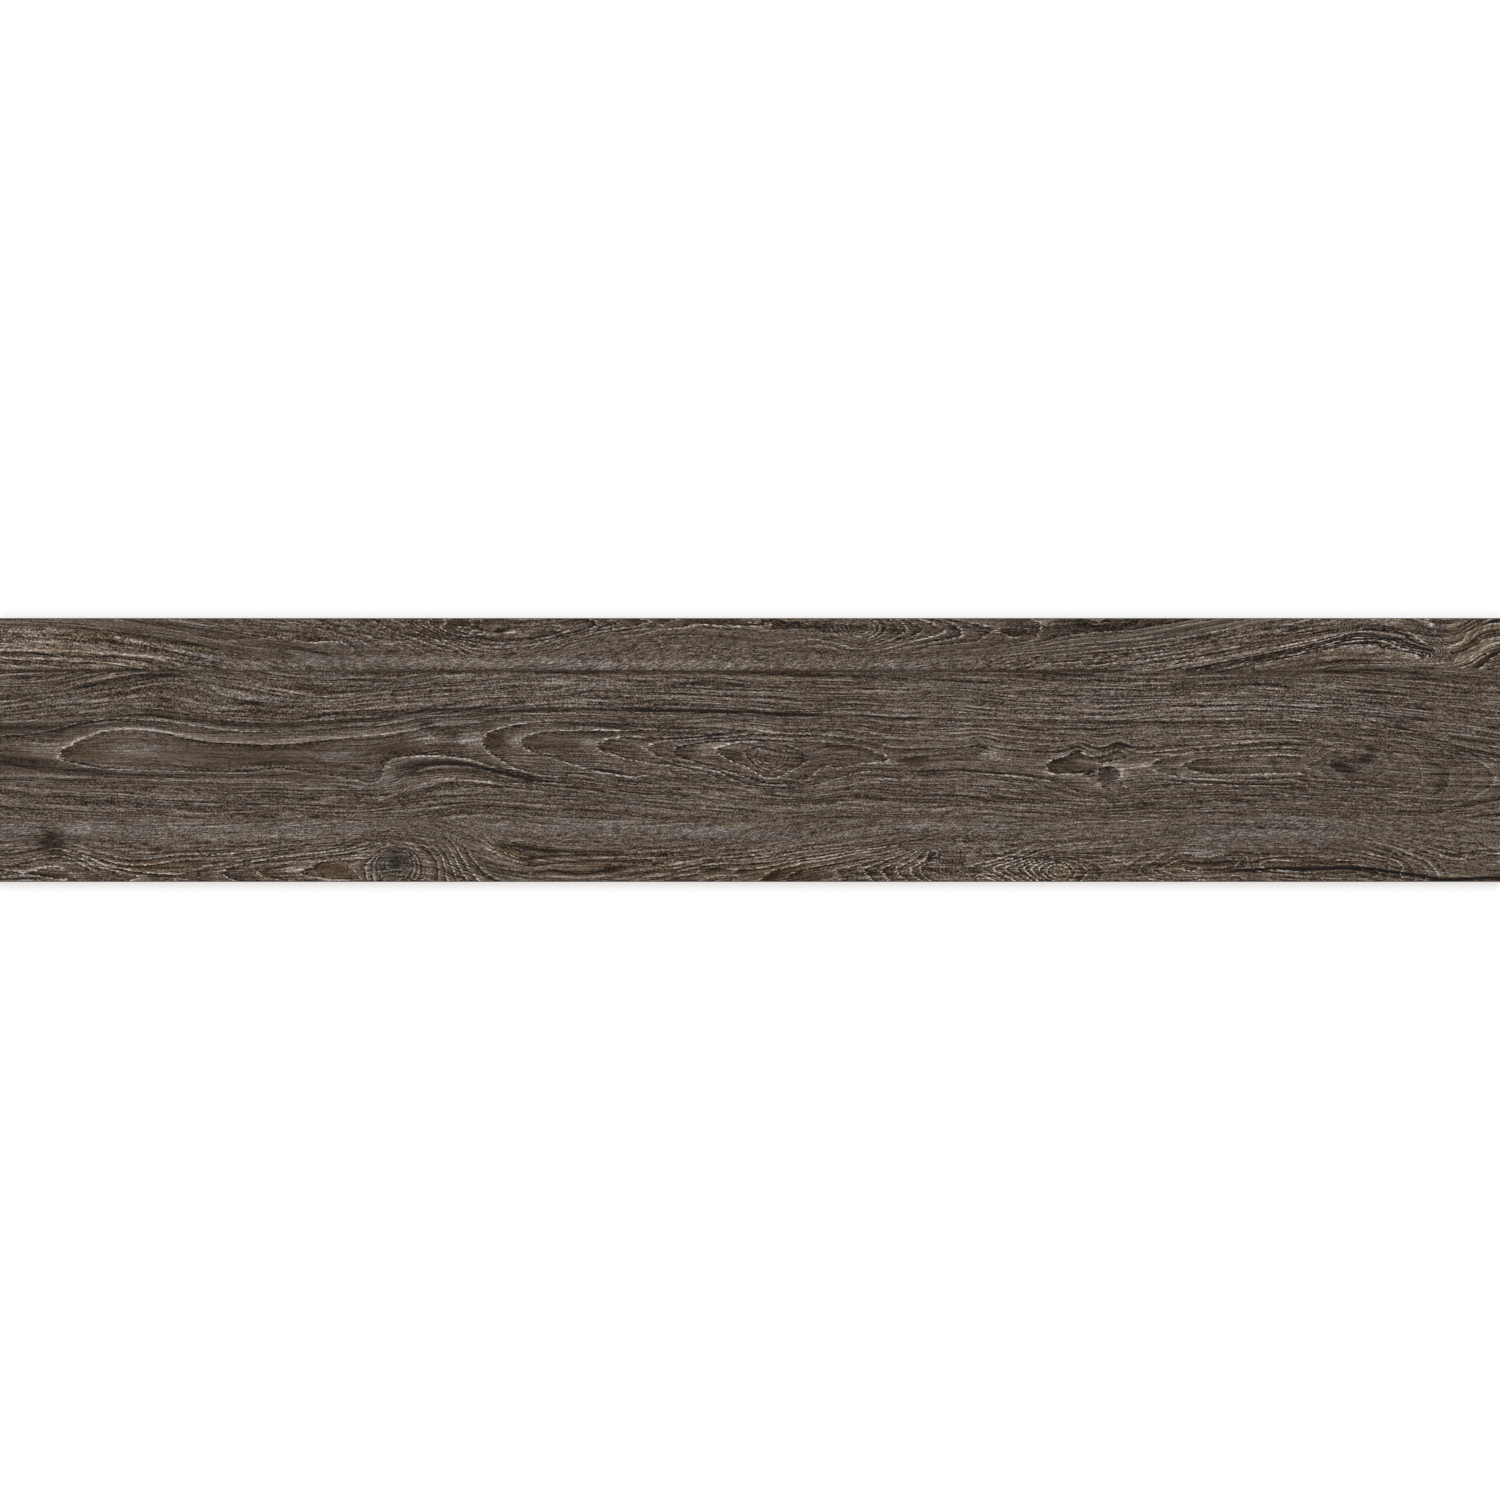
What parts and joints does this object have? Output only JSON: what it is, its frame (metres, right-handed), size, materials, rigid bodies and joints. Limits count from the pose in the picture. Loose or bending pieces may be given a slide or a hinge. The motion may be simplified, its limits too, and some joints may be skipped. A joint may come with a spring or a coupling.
{
  "type": "wood look porcelain plank tile",
  "caption": "Long flat porcelain floor plank with a printed dark wood-grain face, a fine bevel, square ground edges and a grid of shallow keying pockets in its back.",
  "frame": {"origin": "centre of the back, on the plane of the rib tops that the tile is bedded or rests on", "axes": "+X along the plank's length and its grain, +Y across its width, +Z out of the printed face"},
  "size_m": [1.14, 0.2, 0.01],
  "materials": {
    "porcelain": "matte"
  },
  "bodies": {
    "root": {"plank_tile": "porcelain"}
  },
  "joints": []
}
